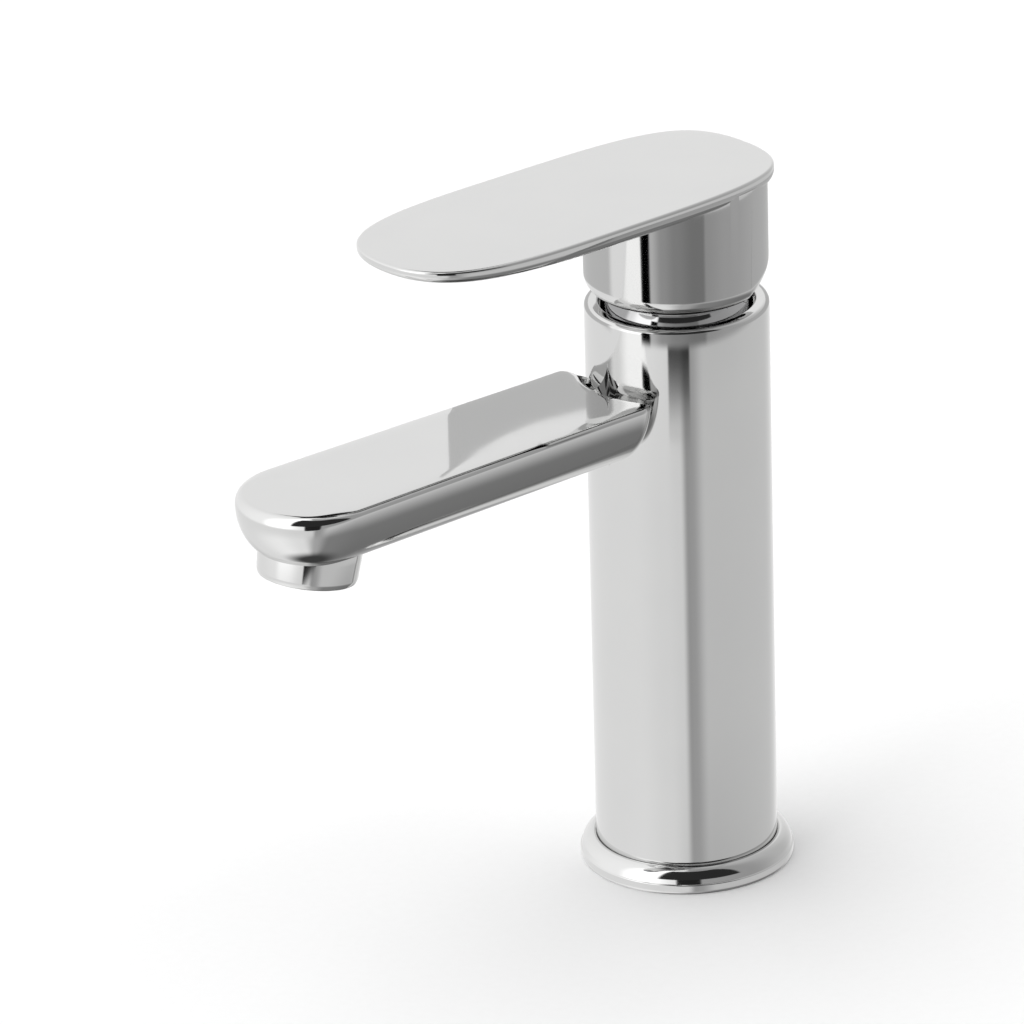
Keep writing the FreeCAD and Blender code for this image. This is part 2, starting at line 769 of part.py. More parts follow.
def build_lever():
    """The die-cast zinc lever: a hollow cap with a flat paddle on top and a socket for the stem."""
    body = new_body("lever_handle")
    outline = new_sketch(body, "paddle_back_outline", "XY_Plane", paddle_low)
    draw_circle(outline, paddle_back_radius)
    extrude(body, "paddle_back", outline, paddle_thickness)
    tip = blade(body, "paddle", paddle_back_radius, paddle_tip_radius,
                paddle_reach, paddle_low, paddle_thickness)
    under = dress(body, "paddle_under_round", "PartDesign::Fillet", tip,
                  at_height(paddle_low), paddle_bottom_round)
    dress(body, "paddle_top_edge", "PartDesign::Fillet", under, at_height(lever_top), paddle_top_round)
    doc.recompute()
    turned = revolve(body, "cap_turned", [
        (cap_cavity_radius, cap_low),
        (cap_radius, cap_low),
        (cap_radius, lever_top - paddle_top_round * 2),
        (zero, lever_top - paddle_top_round * 2),
        (zero, ceiling),
        (cap_cavity_radius, ceiling),
    ])
    dress(body, "cap_edge", "PartDesign::Fillet", turned, at_height(cap_low, cap_radius), cap_round)

    boss = new_sketch(body, "socket_boss_outline", "XY_Plane", ceiling - socket_boss_length)
    draw_circle(boss, socket_boss_radius)
    extrude(body, "socket_boss", boss, socket_boss_length)
    half = stem_width / 2 + fit_gap
    socket = new_sketch(body, "socket_outline", "XY_Plane", ceiling - socket_boss_length)
    draw_polygon(socket, [(-half, -half), (half, -half), (half, half), (-half, half)])
    socket_depth = pivot + stem_height + fit_gap * 2 - ceiling + socket_boss_length
    extrude(body, "socket", socket, socket_depth, "PartDesign::Pocket", backwards=True)

    screw_height = lever_top - grub_screw_drop
    screw = new_sketch(body, "screw_outline", "XZ_Plane")
    draw_circle(screw, grub_screw_radius, (zero, screw_height))
    extrude(body, "screw_hole", screw, cap_radius * 2, "PartDesign::Pocket")
    plug = new_sketch(body, "plug_outline", "XZ_Plane", plug_depth - cap_radius)
    draw_circle(plug, plug_radius, (zero, screw_height))
    extrude(body, "plug_hole", plug, plug_depth * 4, "PartDesign::Pocket")

    # The underside is cut away towards the rear, so that the lifted lever clears the rim.
    lift = lever_lift_degrees
    rim_clear = rim_height + lift_gap - pivot
    start = (cap_rise * cosine(lift) - rim_clear) / sine(lift)
    far = cap_radius * 2
    relief = new_sketch(body, "relief_outline", "YZ_Plane")
    draw_polygon(relief, [
        (start, cap_low),
        (start, cap_low - far),
        (far, cap_low - far),
        (far, pivot + (rim_clear + far * sine(lift)) / cosine(lift)),
    ])
    extrude(body, "relief", relief, cap_radius * 4, "PartDesign::Pocket", both=True)
    return finished(body, "lever_handle")


build_lever()

screw_height = lever_top - grub_screw_drop
screw_seat = stem_width / 2
finished(cylinder("lever_grub_screw", grub_screw_radius, grub_screw_length, zero,
                  screw_seat, screw_height, along="y"), "lever_grub_screw")
finished(cylinder("screw_plug", plug_radius - fit_gap / 2, plug_depth - fit_gap, zero,
                  cap_radius - plug_depth, screw_height, along="y"), "screw_plug")


# ---------------------------------------------------------------- aerator

def tilt(thing):
    """Turns an aerator sub-part about X to the outlet's angle and sets it at the outlet."""
    rotation = FreeCAD.Rotation(FreeCAD.Vector(-1, 0, 0), aerator_tilt.number)
    thing.Placement = FreeCAD.Placement(FreeCAD.Vector(), rotation)
    bind(thing, ".Placement.Rotation.Angle", aerator_tilt)
    return place(thing, zero, -aerator_reach, spout_top - aerator_outlet_drop)


insert_radius = aerator_thread_radius - aerator_wall
aerator_top = aerator_skirt + aerator_thread_length
grille_low = aerator_lip + slide_gap
straightener_low = grille_low + grille_thickness + slide_gap
regulator_low = straightener_low + straightener_height + slide_gap
strainer_low = regulator_low + regulator_height + slide_gap

shell = turned_part("aerator_shell", [
    (insert_radius - aerator_lip, zero),
    (aerator_radius, zero),
    (aerator_radius, aerator_skirt),
    (aerator_thread_radius - slide_gap, aerator_skirt),
    (aerator_thread_radius - slide_gap, aerator_top),
    (insert_radius, aerator_top),
    (insert_radius, aerator_lip),
    (insert_radius - aerator_lip, aerator_lip),
])
tilt(shell)
tilt(turned_part("aerator_gasket", ring(insert_radius, aerator_thread_radius - slide_gap, aerator_top,
                                        aerator_top + aerator_gasket_thickness)))


def build_grille():
    """The moulded outlet grille: a disc with rows of small round holes."""
    body = new_body("outlet_grille")
    outline = new_sketch(body, "grille_outline", "XY_Plane", grille_low)
    draw_circle(outline, insert_radius - slide_gap)
    extrude(body, "grille_disc", outline, grille_thickness)
    holes = new_sketch(body, "grille_holes_outline", "XY_Plane", grille_low)
    draw_circle(holes, grille_hole_radius)
    for row in range(1, grille_rows + 1):
        count = grille_row_step * row
        for number in range(count):
            angle = 2 * math.pi * number / count
            reach = grille_hole_pitch * row
            draw_circle(holes, grille_hole_radius, (reach * math.cos(angle), reach * math.sin(angle)))
    extrude(body, "grille_holes", holes, grille_thickness, "PartDesign::Pocket", backwards=True)
    return tilt(finished(body, "outlet_grille"))


build_grille()
tilt(turned_part("stream_straightener", ring(insert_radius - aerator_wall, insert_radius - slide_gap,
                                             straightener_low, straightener_low + straightener_height)))
tilt(turned_part("flow_regulator", [
    (inlet_radius, regulator_low),
    (insert_radius - slide_gap, regulator_low),
    (insert_radius - slide_gap, regulator_low + regulator_height),
    (insert_radius - aerator_wall * 2, regulator_low + regulator_height),
    (inlet_radius, regulator_low + regulator_height / 2),
]))
tilt(turned_part("inlet_strainer", [
    (zero, strainer_low + strainer_height - aerator_wall / 2),
    (insert_radius - aerator_wall, strainer_low),
    (insert_radius - slide_gap, strainer_low),
    (insert_radius - slide_gap, strainer_low + aerator_wall),
    (zero, strainer_low + strainer_height),
]))


# ---------------------------------------------------------------- checks and files

doc.recompute()
for thing in doc.Objects:
    if "Invalid" in thing.State or "Error" in thing.State:
        raise RuntimeError("%s (%s) failed: %s" % (thing.Name, thing.Label, thing.State))

os.makedirs("parts", exist_ok=True)
for thing in parts:
    shape = thing.Shape
    if shape.isNull() or not shape.isValid():
        raise RuntimeError(thing.Label + " has no valid shape")
    shape.exportStep("parts/%s.step" % thing.Label)
    box = shape.BoundBox
    print("%-24s %d solid %9.1f mm3  x %.2f..%.2f  y %.2f..%.2f  z %.2f..%.2f" % (
        thing.Label, len(shape.Solids), shape.Volume,
        box.XMin, box.XMax, box.YMin, box.YMax, box.ZMin, box.ZMax))
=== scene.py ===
import math
import bmesh
import bpy
from mathutils import Matrix, Vector


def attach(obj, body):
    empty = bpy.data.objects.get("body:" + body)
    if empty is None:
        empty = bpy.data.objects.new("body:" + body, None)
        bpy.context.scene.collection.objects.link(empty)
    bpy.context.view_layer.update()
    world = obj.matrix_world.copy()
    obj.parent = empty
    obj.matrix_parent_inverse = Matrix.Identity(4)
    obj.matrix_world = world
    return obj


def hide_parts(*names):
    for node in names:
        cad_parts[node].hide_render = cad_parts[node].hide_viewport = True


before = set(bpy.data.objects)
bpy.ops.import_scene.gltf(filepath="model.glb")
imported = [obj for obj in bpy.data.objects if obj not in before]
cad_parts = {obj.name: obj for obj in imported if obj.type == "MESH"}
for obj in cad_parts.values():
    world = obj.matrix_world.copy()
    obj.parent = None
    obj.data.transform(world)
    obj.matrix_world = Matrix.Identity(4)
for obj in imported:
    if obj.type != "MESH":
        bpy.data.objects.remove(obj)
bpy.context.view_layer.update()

# ---------------------------------------------------------------- base ring
# The foot is a brass ring turned on a lathe, polished and chromed. The column stands in it, and its
# outer edge has a soft shoulder above a narrow straight band. A rubber gasket sits in its underside.

MM = 0.001
TURN = 2 * math.pi
LATHE_STEPS = 144
SMOOTH_ANGLE = math.radians(28)


def select_only(piece, wanted):
    """Selects the points of the edited piece that pass a test, with the edges and faces between them."""
    mesh = bmesh.from_edit_mesh(piece.data)
    for part in (*mesh.verts, *mesh.edges, *mesh.faces):
        part.select = False
    for point in mesh.verts:
        point.select = wanted(point.co)
    mesh.select_flush(True)
    bmesh.update_edit_mesh(piece.data)


def start_point(name, place):
    """A new piece with one loose point, in edit mode."""
    bpy.ops.object.select_all(action="DESELECT")
    bpy.ops.mesh.primitive_plane_add(size=MM)
    piece = bpy.context.object
    piece.name = name
    bpy.ops.object.mode_set(mode="EDIT")
    bpy.ops.mesh.select_mode(type="VERT")
    bpy.ops.mesh.merge(type="CENTER")
    bpy.ops.transform.translate(value=place)
    return piece


def draw_on(places):
    """Extrudes the selected point from place to place."""
    for here, there in zip(places, places[1:]):
        step = [b - a for a, b in zip(here, there)]
        bpy.ops.mesh.extrude_region_move(TRANSFORM_OT_translate={"value": step})


def merge_all(outwards=True):
    bpy.ops.mesh.select_all(action="SELECT")
    bpy.ops.mesh.remove_doubles(threshold=MM / 1000)
    if outwards:
        bpy.ops.mesh.normals_make_consistent(inside=False)


def round_point(piece, place, amount, segments=8):
    """Rounds one corner of a drawn outline."""
    spot = Vector(place)
    select_only(piece, lambda co: (co - spot).length < MM / 100)
    bpy.ops.mesh.bevel(offset=amount * MM, segments=segments, affect="VERTICES", profile=0.5)


def leave_edit():
    bpy.ops.object.mode_set(mode="OBJECT")
    bpy.ops.object.shade_smooth_by_angle(angle=SMOOTH_ANGLE)


def turned(name, outline, steps=LATHE_STEPS):
    """A closed turned piece, from corners of (radius, height, rounding) in mm; left in edit mode."""
    corners = [(radius * MM, 0, height * MM) for radius, height, rounding in outline]
    piece = start_point(name, corners[0])
    draw_on(corners + corners[:1])
    merge_all(outwards=False)
    for corner, (radius, height, rounding) in zip(corners, outline):
        if rounding:
            round_point(piece, corner, rounding)
    bpy.ops.mesh.select_all(action="SELECT")
    bpy.ops.mesh.spin(steps=steps, angle=TURN, center=(0, 0, 0), axis=(0, 0, 1))
    merge_all()
    return piece


def linear(hex_code):
    """A colour as Blender wants it, from its sRGB hex code."""
    parts = [int(hex_code[i:i + 2], 16) / 255 for i in (1, 3, 5)]
    return (*[p / 12.92 if p <= 0.04045 else ((p + 0.055) / 1.055) ** 2.4 for p in parts], 1)


def add(tree, kind, sockets=None, **settings):
    """Adds one shader node with its settings, and values or links for its sockets."""
    node = tree.nodes.new(kind)
    for key, value in settings.items():
        setattr(node, key, value)
    for key, value in (sockets or {}).items():
        if isinstance(value, bpy.types.NodeSocket):
            tree.links.new(value, node.inputs[key])
        else:
            node.inputs[key].default_value = value
    return node


def new_material(name):
    material = bpy.data.materials.new(name)
    material.use_nodes = True
    tree = material.node_tree
    tree.nodes.clear()
    coords = add(tree, "ShaderNodeTexCoord")
    return material, tree, coords.outputs["Object"]


def end_material(tree, sockets):
    shader = add(tree, "ShaderNodeBsdfPrincipled", sockets)
    add(tree, "ShaderNodeOutputMaterial", {"Surface": shader.outputs["BSDF"]})


def polished_chrome(name, pale, dull):
    """Decorative chrome over polished brass: a mirror with buffing waves, patchy haze and wiping marks."""
    material, tree, place = new_material(name)
    # Buffing leaves waves about 14 mm long, handling leaves haze 30 mm across, and cloths leave marks
    # 0.6 mm apart.
    waves = add(tree, "ShaderNodeTexNoise", {"Vector": place, "Scale": 70, "Detail": 1, "Roughness": 0.4})
    haze = add(tree, "ShaderNodeTexNoise", {"Vector": place, "Scale": 33, "Detail": 4, "Roughness": 0.6})
    stretch = add(tree, "ShaderNodeMapping", {"Vector": place, "Scale": (1, 1, 12)})
    marks = add(tree, "ShaderNodeTexNoise", {"Vector": stretch.outputs["Vector"], "Scale": 1600, "Detail": 2})
    tint = add(tree, "ShaderNodeMix", {"Factor": haze.outputs["Fac"], "A": linear(pale), "B": linear(dull)},
               data_type="RGBA")
    gloss = add(tree, "ShaderNodeMapRange", {
        "Value": haze.outputs["Fac"], "From Min": 0.3, "From Max": 0.7, "To Min": 0.035, "To Max": 0.075})
    shine = add(tree, "ShaderNodeMath", {0: marks.outputs["Fac"], 1: 0.02, 2: gloss.outputs["Result"]},
                operation="MULTIPLY_ADD")
    relief = add(tree, "ShaderNodeBump", {
        "Height": waves.outputs["Fac"], "Strength": 0.05, "Distance": 0.4 * MM})
    end_material(tree, {
        "Base Color": tint.outputs["Result"], "Metallic": 1, "Roughness": shine.outputs["Value"],
        "Normal": relief.outputs["Normal"]})
    return material


def paint(piece, material):
    piece.data.materials.clear()
    piece.data.materials.append(material)


def stand_for(piece, body, slot, material, *nodes):
    """Fixes a modelled piece to its body, in place of the plain nodes it details."""
    paint(piece, material)
    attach(piece, body)
    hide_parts(*nodes)


chrome = polished_chrome("polished_chrome_plate", "#DCDCDB", "#D6D6D6")

FOOT_RADIUS = 28.2
foot = turned("foot_ring", [
    (21, 0, 0),
    (27.9, 0, 0.2),
    (FOOT_RADIUS, 0.6, 0.3),
    (FOOT_RADIUS, 2.6, 0.15),
    (27.9, 2.75, 0.05),
    (27.3, 5.3, 1.6),
    (24.9, 6.85, 0.6),
    (24.15, 6.4, 0),
    (24.15, 2.6, 0),
    (21, 2.6, 0),
])
leave_edit()
stand_for(foot, "body", "polished_chrome", chrome, "base_ring")

# ---------------------------------------------------------------- column
# The body is a brass tube turned inside and out, then polished and chromed. Below it leads the two
# supply hoses up to the valve block, and above it holds the cartridge under a rounded rim.

COLUMN_RADIUS = 24
RIM = 157.5
column = turned("column_tube", [
    (21.2, 2.6, 0),
    (COLUMN_RADIUS, 2.6, 0.3),
    (COLUMN_RADIUS, RIM, 1.5),
    (20.3, RIM, 0.6),
    (20.3, 151.5, 0),
    (19.5, 151.5, 0),
    (19.5, 147, 0),
    (17.55, 147, 0),
    (17.55, 141, 0),
    (20.3, 138.25, 0),
    (20.3, 118, 0),
    (21.2, 118, 0),
])
leave_edit()
stand_for(column, "body", "polished_chrome", chrome, "body_shell")

# ---------------------------------------------------------------- spout
# The spout is a brass casting brazed to the column, ground to a soft concave blend, polished and chromed
# with it. Its top is flat with a small edge, its flanks curve in below, and its tip is half round in plan.

SPOUT_TOP = 139.5
SPOUT_LOW = 123.1
ROOT_HALF = 18.1
TIP_HALF = 19.3
TIP_CENTRE = 121.8
BLEND_RADIUS = 6.5
BLEND_STEPS = 18
PLAIN_START = 38
ROOT_SINK = 1.2


def arc(centre, radii, start, stop, steps):
    """Points of an elliptical arc in degrees, both ends included."""
    angles = [math.radians(start + (stop - start) * i / steps) for i in range(steps + 1)]
    return [(centre[0] + radii[0] * math.cos(a), centre[1] + radii[1] * math.sin(a)) for a in angles]


def spout_section(half):
    """Right half of the section as (x, z), from the middle of the top to the middle of the underside."""
    edge, shoulder, turn, lean_in = 1.3, 24.0, 9, 7
    flank_width = 10.0
    shoulder_x = half - edge - (shoulder - edge) * math.sin(math.radians(turn))
    edge_z = SPOUT_TOP - shoulder + (shoulder - edge) * math.cos(math.radians(turn))
    flat = [(shoulder_x * i / 8, SPOUT_TOP) for i in range(8)]
    roll = arc((shoulder_x, SPOUT_TOP - shoulder), (shoulder, shoulder), 90, 90 - turn, 7)
    corner = arc((half - edge, edge_z), (edge, edge), 90 - turn, -lean_in, 10)
    start = Vector(corner[-1])
    deep = (start.y - SPOUT_LOW) / (1 - math.sin(math.radians(lean_in)))
    flank = arc((start.x - flank_width * math.cos(math.radians(lean_in)), SPOUT_LOW + deep),
                (flank_width, deep), -lean_in, -90, 32)
    floor = [(flank[-1][0] * i / 6, SPOUT_LOW) for i in range(5, -1, -1)]
    return [Vector(point) for point in (*flat, *roll, *corner[1:], *flank[1:], *floor)]


def tip_section():
    """The profile with a wider crest that the section grows into round the tip, point for point."""
    crest_width, crest_height, belly_width = 2.4, 3.2, 10.0
    widest = TIP_HALF + 0.6
    middle = SPOUT_TOP - crest_height
    flat = [((widest - crest_width) * i / 8, SPOUT_TOP) for i in range(8)]
    crest = arc((widest - crest_width, middle), (crest_width, crest_height), 90, 0, 17)
    belly = arc((widest - belly_width, middle), (belly_width, middle - SPOUT_LOW), 0, -90, 32)
    floor = [((widest - belly_width) * i / 6, SPOUT_LOW) for i in range(5, -1, -1)]
    return [Vector(point) for point in (*flat, *crest, *belly[1:], *floor)]


def outward(points):
    """Unit normals of the half section, level at its two ends on the middle plane."""
    normals = []
    for before, after in zip(points[:1] + points[:-1], points[1:] + points[-1:]):
        along = (after - before).normalized()
        normals.append(Vector((-along.y, along.x)) * -1)
    normals[0], normals[-1] = Vector((0, 1)), Vector((0, -1))
    return normals


def blend_ring(points, normals, share):
    """One ring of the rolling-ball blend, from the spout's skin at share 0 to the column's at share 1."""
    ring = []
    for point, normal in zip(points, normals):
        x, z = point + normal * BLEND_RADIUS
        centre = Vector((x, -math.sqrt((COLUMN_RADIUS + BLEND_RADIUS) ** 2 - x * x), z))
        to_spout = Vector((-normal.x, 0, -normal.y))
        to_column = Vector((-centre.x, -centre.y, 0)).normalized()
        ring.append(centre + to_spout.slerp(to_column, share) * BLEND_RADIUS)
    return ring


def extrude_to(piece, ring):
    """Extrudes the selected row of points and moves each new point to its place on the next ring."""
    bpy.ops.mesh.extrude_region_move()
    mesh = bmesh.from_edit_mesh(piece.data)
    row = [point for point in mesh.verts if point.select]
    layer = mesh.verts.layers.int["order"]
    for point in row:
        point.co = Vector(ring[point[layer]]) * MM
    bmesh.update_edit_mesh(piece.data)


def spout_half(name):
    """Right half of the spout: its section, carried back into the column and on to the round tip."""
    near, far = spout_section(ROOT_HALF), spout_section(TIP_HALF)
    lift = lambda points, y: [Vector((x, y, z)) for x, z in points]
    plain = lift(near, -PLAIN_START)
    piece = start_point(name, plain[0] * MM)
    draw_on([place * MM for place in plain])
    mesh = bmesh.from_edit_mesh(piece.data)
    order = mesh.verts.layers.int.new("order")
    spots = [place * MM for place in plain]
    for point in mesh.verts:
        point[order] = min(range(len(spots)), key=lambda i: (spots[i] - point.co).length)
    bmesh.update_edit_mesh(piece.data)
    first = lambda: select_only(piece, lambda co: abs(co.y + PLAIN_START * MM) < MM / 100)
    first()
    normals = outward(near)
    for step in range(BLEND_STEPS + 1):
        extrude_to(piece, blend_ring(near, normals, step / BLEND_STEPS))
    sunk = [Vector((x, y, z)) for x, y, z in blend_ring(near, normals, 1)]
    inwards = 1 - ROOT_SINK / COLUMN_RADIUS
    extrude_to(piece, [Vector((p.x * inwards, p.y * inwards, p.z)) for p in sunk])
    first()
    extrude_to(piece, lift(far, -TIP_CENTRE))
    bpy.ops.mesh.spin(steps=40, angle=TURN / 4, center=(0, -TIP_CENTRE * MM, 0), axis=(0, 0, 1))
    swell_tip(piece, far, tip_section())
    merge_all()
    bpy.ops.object.mode_set(mode="OBJECT")
    return piece


def swell_tip(piece, side, front):
    """Moves the tip's points from the side's profile towards the front's, more and more round the tip."""
    mesh = bmesh.from_edit_mesh(piece.data)
    layer = mesh.verts.layers.int["order"]
    for point in mesh.verts:
        ahead, across = -point.co.y - TIP_CENTRE * MM, point.co.x
        if ahead > MM / 1000:
            turn = math.degrees(math.atan2(across, ahead))
            share = min(1, max(0, (90 - turn) / 45))
            share = share * share * (3 - 2 * share)
            reach, height = side[point[layer]].lerp(front[point[layer]], share) * MM
            angle = math.radians(turn)
            point.co = (reach * math.sin(angle), -TIP_CENTRE * MM - reach * math.cos(angle), height)
    bmesh.update_edit_mesh(piece.data)


def apply_modifier(piece, kind, **settings):
    bpy.context.view_layer.objects.active = piece
    bpy.ops.object.modifier_add(type=kind)
    modifier = piece.modifiers[-1]
    for key, value in settings.items():
        setattr(modifier, key, value)
    bpy.ops.object.modifier_apply(modifier=modifier.name)


spout = spout_half("cast_spout")
apply_modifier(spout, "MIRROR", use_axis=(True, False, False), use_clip=True, merge_threshold=MM / 1000)
bpy.ops.object.mode_set(mode="EDIT")
bpy.ops.mesh.select_all(action="DESELECT")
bpy.ops.mesh.select_non_manifold(extend=False, use_wire=False, use_multi_face=False,
                                 use_non_contiguous=False, use_verts=False)
bpy.ops.mesh.fill_grid(span=24)
root_radius = (COLUMN_RADIUS - ROOT_SINK) * MM
mesh = bmesh.from_edit_mesh(spout.data)
for point in mesh.verts:
    if point.select:
        point.co.y = -math.sqrt(root_radius ** 2 - point.co.x ** 2)
bmesh.update_edit_mesh(spout.data)
merge_all()
leave_edit()
stand_for(spout, "body", "polished_chrome", chrome, "spout")

# ---------------------------------------------------------------- aerator
# A turned and chromed brass shell screws into the boss under the spout's tip. It leans outwards with the
# outlet, and holds a plastic grille, a straightener, a flow regulator and a strainer.

AERATOR_RADIUS = 13.3
AERATOR_TILT = math.radians(11)
OUTLET = Vector((0, -125.0, 116.5)) * MM


def lean(piece):
    """Leans a piece turned about Z with the outlet, and sets it at the outlet's place."""
    bpy.ops.mesh.select_all(action="SELECT")
    bpy.ops.transform.rotate(value=AERATOR_TILT, orient_axis="X", center_override=(0, 0, 0))
    bpy.ops.transform.translate(value=OUTLET)


seat = turned("aerator_seat_cutter", [(0.01, -4, 0), (13.5, -4, 0), (13.5, 9, 0), (0.01, 9, 0)])
lean(seat)
bpy.ops.object.mode_set(mode="OBJECT")
apply_modifier(spout, "BOOLEAN", object=seat, operation="DIFFERENCE", solver="EXACT")
bpy.data.objects.remove(seat)
bpy.ops.object.select_all(action="DESELECT")
spout.select_set(True)
bpy.ops.object.shade_smooth_by_angle(angle=SMOOTH_ANGLE)

aerator = turned("aerator_sleeve", [
    (11.7, 0, 0.25),
    (12.4, 0, 0.3),
    (12.9, 0.9, 0.7),
    (AERATOR_RADIUS, 7.0, 0.5),
    (AERATOR_RADIUS, 8.9, 0.2),
    (11.95, 8.9, 0),
    (11.95, 14.2, 0),
    (10.65, 14.2, 0),
    (10.65, 2.2, 0),
    (11.3, 2.2, 0),
])
lean(aerator)
leave_edit()
stand_for(aerator, "body", "polished_chrome", chrome, "aerator_shell")

# ---------------------------------------------------------------- dome cover
# A thin spun brass dome hides the cartridge nut between the rim and the lever. It is chromed like the body,
# and the lever's cap rides over it. Its chrome is tinted darker than the body's, as painted shade in the gap.

PIVOT = 150
DOME_RADIUS = 19.9
DOME_WALL = 1.2
DOME_TOP = 166.0
DOME_LOW = 151.6
DOME_OPENING = 11.1


def dome_point(radius, height):
    return (math.sqrt(radius ** 2 - (height - PIVOT) ** 2), height, 0)


rise = [DOME_LOW + (DOME_TOP - DOME_LOW) * step / 20 for step in range(21)]
inner_radius = DOME_RADIUS - DOME_WALL
inner_top = PIVOT + math.sqrt(inner_radius ** 2 - DOME_OPENING ** 2)
dome = turned("dome_skirt", [
    *[dome_point(DOME_RADIUS, height) for height in rise],
    (DOME_OPENING, DOME_TOP, 0),
    *[dome_point(inner_radius, height) for height in reversed(rise) if height < inner_top],
])
leave_edit()
# The dome gets a darker copy of the chrome: painted shade for the gap between the rim and the cap.
painted_shade_dome_chrome = polished_chrome("chrome_with_painted_shade_on_dome", "#CDCDCD", "#C4C4C5")
stand_for(dome, "body", "dark_polished_chrome", painted_shade_dome_chrome, "dome_cover")

# ---------------------------------------------------------------- lever
# The handle is one zinc die casting, polished and chromed: a hollow round cap that sits on the stem, and a
# flat paddle on top, which thins towards its rounded tip. The cap's lower edge is well rounded, and cut
# back at the rear so that it clears the rim when the lever is lifted.

CAP_RADIUS = 23.95
CAP_LOW = 160.4
LEVER_TOP = 194.3
PADDLE_THICKNESS = 4.8
PADDLE_WIDEST = 25.3
PADDLE_REACH = 98.1
PADDLE_REAR = 24.6
RELIEF_ANGLE = math.radians(18)
RELIEF_HEIGHT = 8.1

cap = turned("cap", [
    (17.9, CAP_LOW, 0.3),
    (CAP_RADIUS, CAP_LOW, 0),
    (CAP_RADIUS, LEVER_TOP - 2.5, 0),
    (0.01, LEVER_TOP - 2.5, 0),
    (0.01, 170.1, 0),
    (8.5, 170.1, 0),
    (8.5, 186.1, 0),
    (17.9, 186.1, 1.5),
])
relief_point = Vector((0, 0, PIVOT + RELIEF_HEIGHT / math.cos(RELIEF_ANGLE))) * MM
relief_normal = Vector((0, -math.sin(RELIEF_ANGLE), math.cos(RELIEF_ANGLE)))
bpy.ops.mesh.select_all(action="SELECT")
bpy.ops.mesh.bisect(plane_co=relief_point, plane_no=relief_normal, use_fill=True, clear_inner=True)


def on_lower_edge(co):
    outer = math.hypot(co.x, co.y) > (CAP_RADIUS - 0.05) * MM
    low = co.z < (CAP_LOW + 0.01) * MM
    cut = abs((co - relief_point).dot(relief_normal)) < MM / 100
    return outer and (low or cut)


merge_all()
select_only(cap, on_lower_edge)
bpy.ops.mesh.bevel(offset=5.0 * MM, segments=12, affect="EDGES", profile=0.5)
merge_all()
bpy.ops.object.mode_set(mode="OBJECT")


def paddle_outline():
    """The paddle's plan, a closed curve through its rear, its two widest points and its tip."""
    bpy.ops.object.select_all(action="DESELECT")
    bpy.ops.curve.primitive_bezier_circle_add(radius=MM)
    curve = bpy.context.object
    widest_y = -32
    forward_arm, back_arm, rear_arm, tip_arm = -34, 43.5, 22.5, 28.0
    places = ((-PADDLE_WIDEST, widest_y), (0, PADDLE_REAR), (PADDLE_WIDEST, widest_y), (0, -PADDLE_REACH))
    arms = (((0, forward_arm), (0, back_arm)), ((-rear_arm, 0), (rear_arm, 0)),
            ((0, back_arm), (0, forward_arm)), ((tip_arm, 0), (-tip_arm, 0)))
    for knot, (x, y), (left, right) in zip(curve.data.splines[0].bezier_points, places, arms):
        knot.handle_left_type = knot.handle_right_type = "FREE"
        knot.co = Vector((x, y, 0)) * MM
        knot.handle_left = Vector((x + left[0], y + left[1], 0)) * MM
        knot.handle_right = Vector((x + right[0], y + right[1], 0)) * MM
    curve.data.resolution_u = 40
    bpy.ops.object.convert(target="MESH")
    return bpy.context.object


paddle = paddle_outline()
bpy.ops.object.mode_set(mode="EDIT")
bpy.ops.mesh.select_all(action="SELECT")
bpy.ops.mesh.remove_doubles(threshold=MM / 1000)
bpy.ops.transform.translate(value=(0, 0, (LEVER_TOP - PADDLE_THICKNESS) * MM))
bpy.ops.mesh.edge_face_add()
bpy.ops.mesh.extrude_region_move(TRANSFORM_OT_translate={"value": (0, 0, PADDLE_THICKNESS * MM)})
merge_all()
level = lambda height: (lambda co: abs(co.z - height * MM) < MM / 100)
select_only(paddle, level(LEVER_TOP - PADDLE_THICKNESS))
bpy.ops.mesh.bevel(offset=3.0 * MM, segments=10, affect="EDGES", profile=0.5)
select_only(paddle, level(LEVER_TOP))
bpy.ops.mesh.bevel(offset=0.8 * MM, segments=8, affect="EDGES", profile=0.5)
select_only(paddle, level(LEVER_TOP))
bpy.ops.mesh.delete(type="ONLY_FACE")
select_only(paddle, level(LEVER_TOP))
bpy.ops.mesh.fill_grid(span=40)
mesh = bmesh.from_edit_mesh(paddle.data)
for point in mesh.verts:
    x, reach = point.co.x / (PADDLE_WIDEST * MM), -point.co.y / MM
    front = max(0, (reach - 40) / (PADDLE_REACH - 40))
    depth = LEVER_TOP * MM - point.co.z
    crown = (0.18 * x * x + 0.15 * front ** 2) * MM
    point.co.z = LEVER_TOP * MM - depth * (1 - 0.32 * front ** 1.5) - crown
bmesh.update_edit_mesh(paddle.data)
merge_all()
bpy.ops.object.mode_set(mode="OBJECT")
cap.name = "lever_cap_and_paddle"
apply_modifier(cap, "BOOLEAN", object=paddle, operation="UNION", solver="EXACT")
bpy.data.objects.remove(paddle)
bpy.ops.object.select_all(action="DESELECT")
cap.select_set(True)
bpy.ops.object.shade_smooth_by_angle(angle=SMOOTH_ANGLE)
stand_for(cap, "lever", "polished_chrome", chrome, "lever_handle")

# ---------------------------------------------------------------- inner parts
# Brass block and nut are left as turned, the cartridge is moulded acetal around lapped alumina discs,
# its stem and pin are stainless steel, and every joint is sealed with nitrile rubber.


